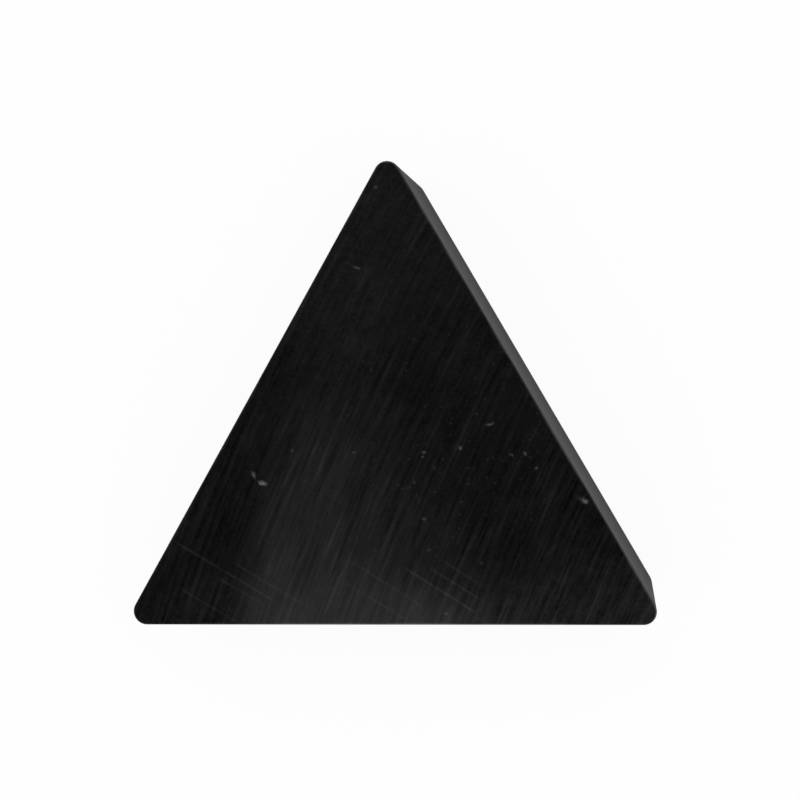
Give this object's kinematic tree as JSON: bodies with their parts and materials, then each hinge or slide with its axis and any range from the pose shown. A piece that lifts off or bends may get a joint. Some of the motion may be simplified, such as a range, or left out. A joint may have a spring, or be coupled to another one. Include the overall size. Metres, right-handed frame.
{
  "type": "triangular carbide cutting insert",
  "caption": "Plain triangular cutting insert with flat ground faces, flanks that lean in below the cutting edges, and small rounded noses.",
  "frame": {"origin": "middle of the inscribed circle, on the seat face", "axes": "+Z from the seat face to the rake face, +Y towards one nose, +X along the opposite cutting edge"},
  "size_m": [0.0158, 0.0139, 0.004],
  "materials": {
    "ground_carbide": "nearly black sintered tungsten carbide, ground flat, with fine grinding lines"
  },
  "bodies": {
    "root": {"insert_body": "ground_carbide"}
  },
  "joints": []
}
